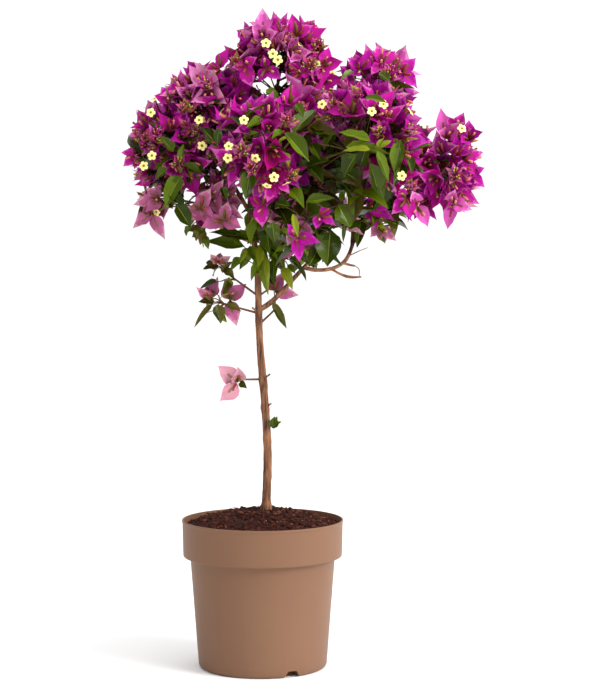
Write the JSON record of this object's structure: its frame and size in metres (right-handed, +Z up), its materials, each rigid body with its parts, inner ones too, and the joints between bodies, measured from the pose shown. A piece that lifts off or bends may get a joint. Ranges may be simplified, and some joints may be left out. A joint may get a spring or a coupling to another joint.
{
  "type": "potted bougainvillea standard",
  "caption": "Bougainvillea trained as a small standard: one slim woody stem with a lobed crown of magenta bracts and green leaves, in a round plastic nursery pot.",
  "frame": {"origin": "centre of the pot's flat underside, on the surface that the pot stands on", "axes": "+Z up the stem; +X to the plant's right seen from its front, where the crown leans; +Y to its back"},
  "size_m": [0.3832, 0.2776, 0.6868],
  "materials": {
    "pot_plastic": "satin",
    "compost": "matte",
    "bark": "matte",
    "bracts": "matte",
    "leaves": "satin",
    "flowers": "matte"
  },
  "bodies": {
    "root": {"pot": "pot_plastic", "compost": "compost", "trunk": "bark", "leader": "bark", "bough_right": "bark", "bough_right_out": "bark", "bare_twig": "bark", "bare_stub": "bark", "bough_far_right": "bark", "bough_upper_right": "bark", "bough_right_front": "bark", "bough_right_back": "bark", "bough_lower_right": "bark", "bough_lower_front": "bark", "bough_lower_back": "bark", "bough_lower_left": "bark", "bough_left": "bark", "bough_upper_left": "bark", "bough_front": "bark", "bough_back": "bark", "crown_top": "bracts", "crown_upper_left": "bracts", "crown_upper_right": "bracts", "crown_far_right": "bracts", "crown_left": "bracts", "crown_lower_left": "bracts", "crown_front": "bracts", "crown_back": "bracts", "crown_right_front": "bracts", "crown_right_back": "bracts", "crown_lower_right": "bracts", "crown_lower_front": "leaves", "crown_lower_back": "leaves", "crown_under": "leaves", "shoot_left_upper": "leaves", "shoot_left_lower": "leaves", "shoot_fork": "leaves", "spray_on_stem": "bracts", "bud_on_stem": "leaves"}
  },
  "joints": []
}
